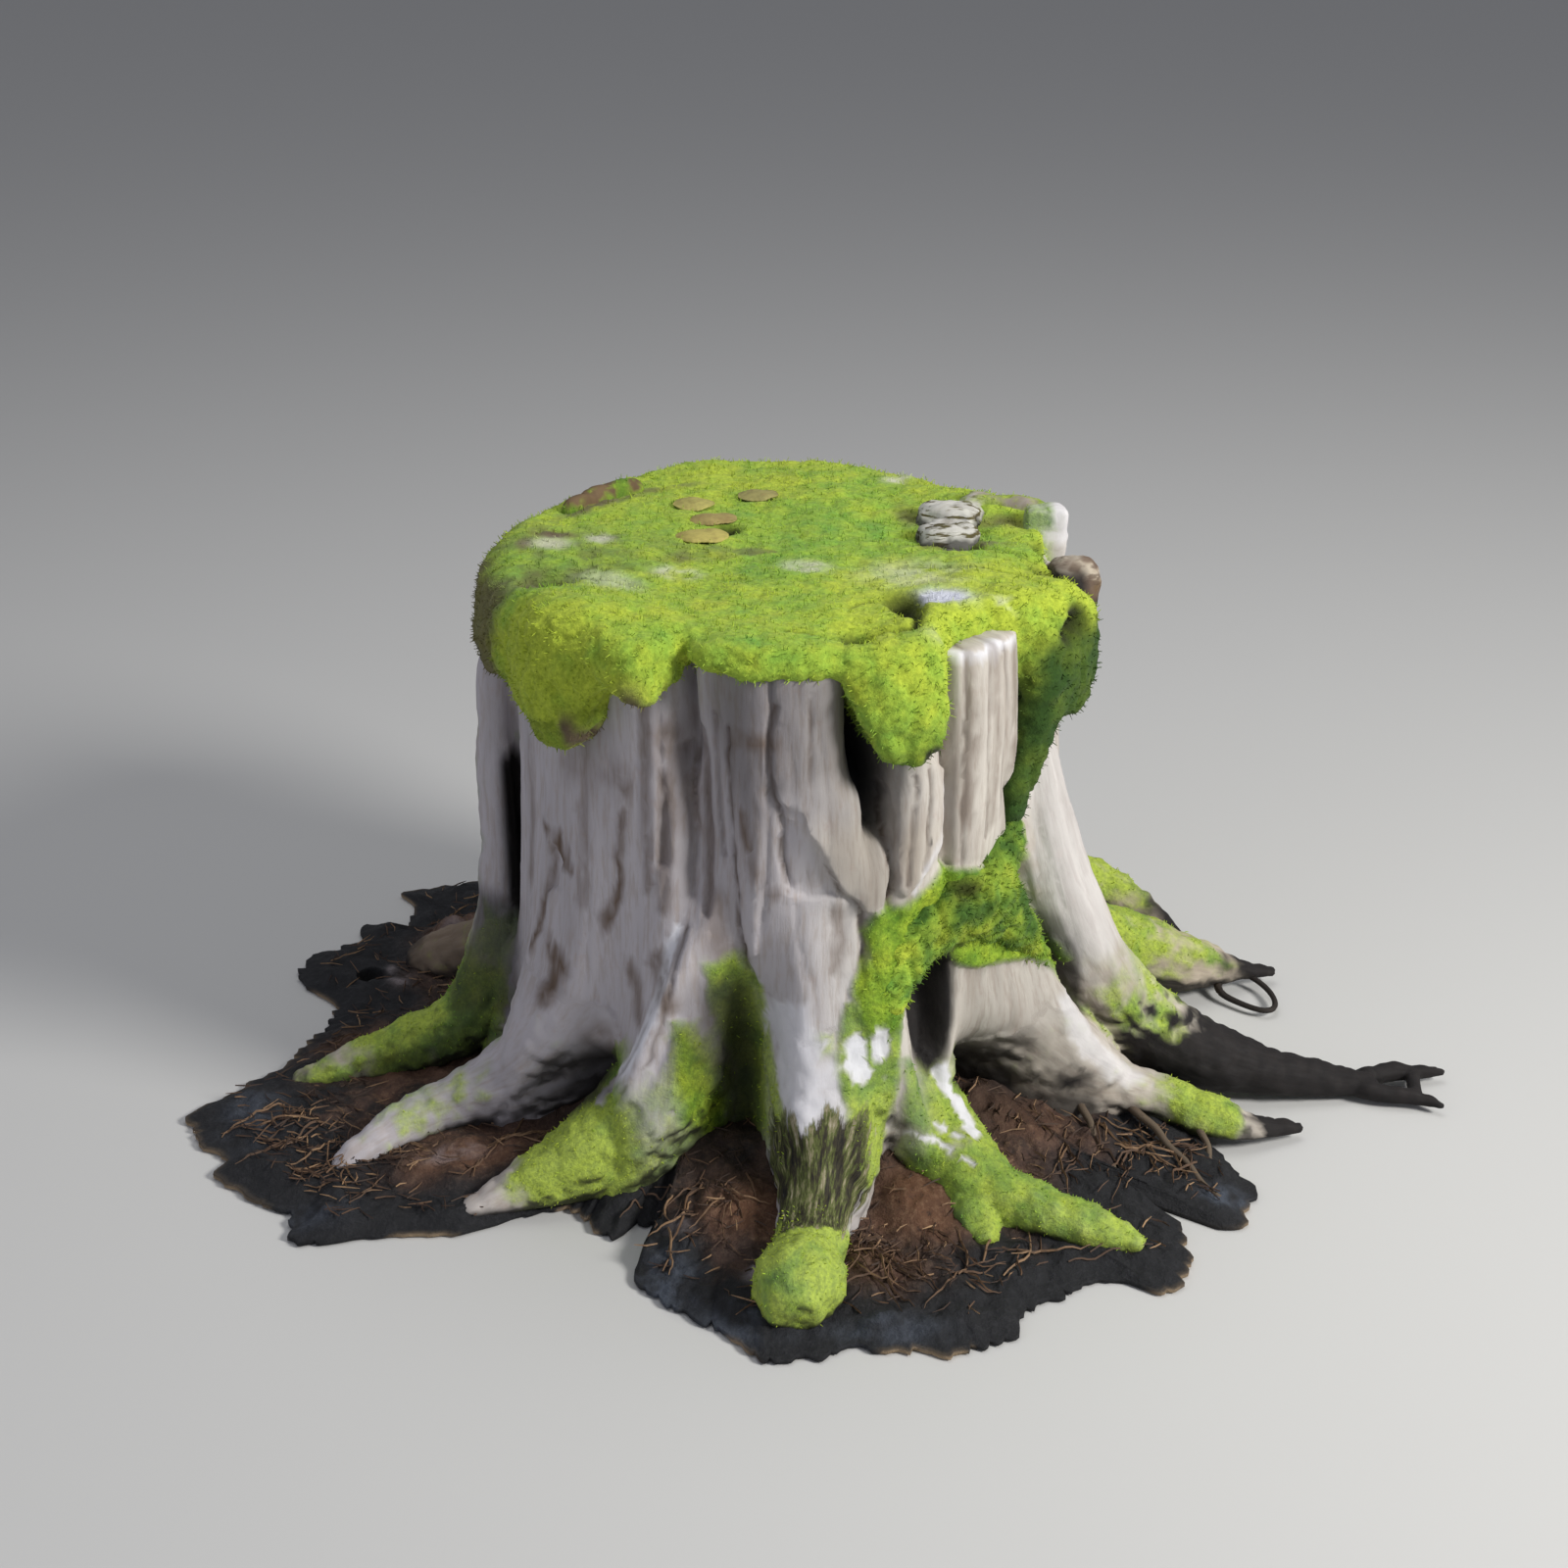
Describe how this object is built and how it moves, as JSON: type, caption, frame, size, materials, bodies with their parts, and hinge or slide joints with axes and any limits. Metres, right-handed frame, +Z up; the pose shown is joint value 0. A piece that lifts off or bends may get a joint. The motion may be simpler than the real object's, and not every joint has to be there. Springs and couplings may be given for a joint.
{
  "type": "tree stump",
  "caption": "Weathered sawn tree stump with flared roots, a thick moss cap with hanging lobes, and a ragged skin of forest litter that it stands in.",
  "frame": {"origin": "on the trunk's axis, at the flat underside of the litter", "axes": "+Z up along the trunk, -Y towards the side the picture shows, +X to its right"},
  "size_m": [1.2103, 0.9727, 0.5532],
  "materials": {
    "weathered_wood": "silver-grey weathered, matte",
    "cap_moss": "yellow-green moss, matte",
    "crook_moss": "deeper green moss, matte",
    "litter": "dark soil and needles, matte",
    "dry_leaf": "dry tan leaf, matte"
  },
  "bodies": {
    "root": {"stump_wood": "weathered_wood", "moss_cap": "cap_moss", "moss_crook": "crook_moss", "litter_mat": "litter", "leaf_1": "dry_leaf", "leaf_2": "dry_leaf", "leaf_3": "dry_leaf", "leaf_4": "dry_leaf"}
  },
  "joints": []
}
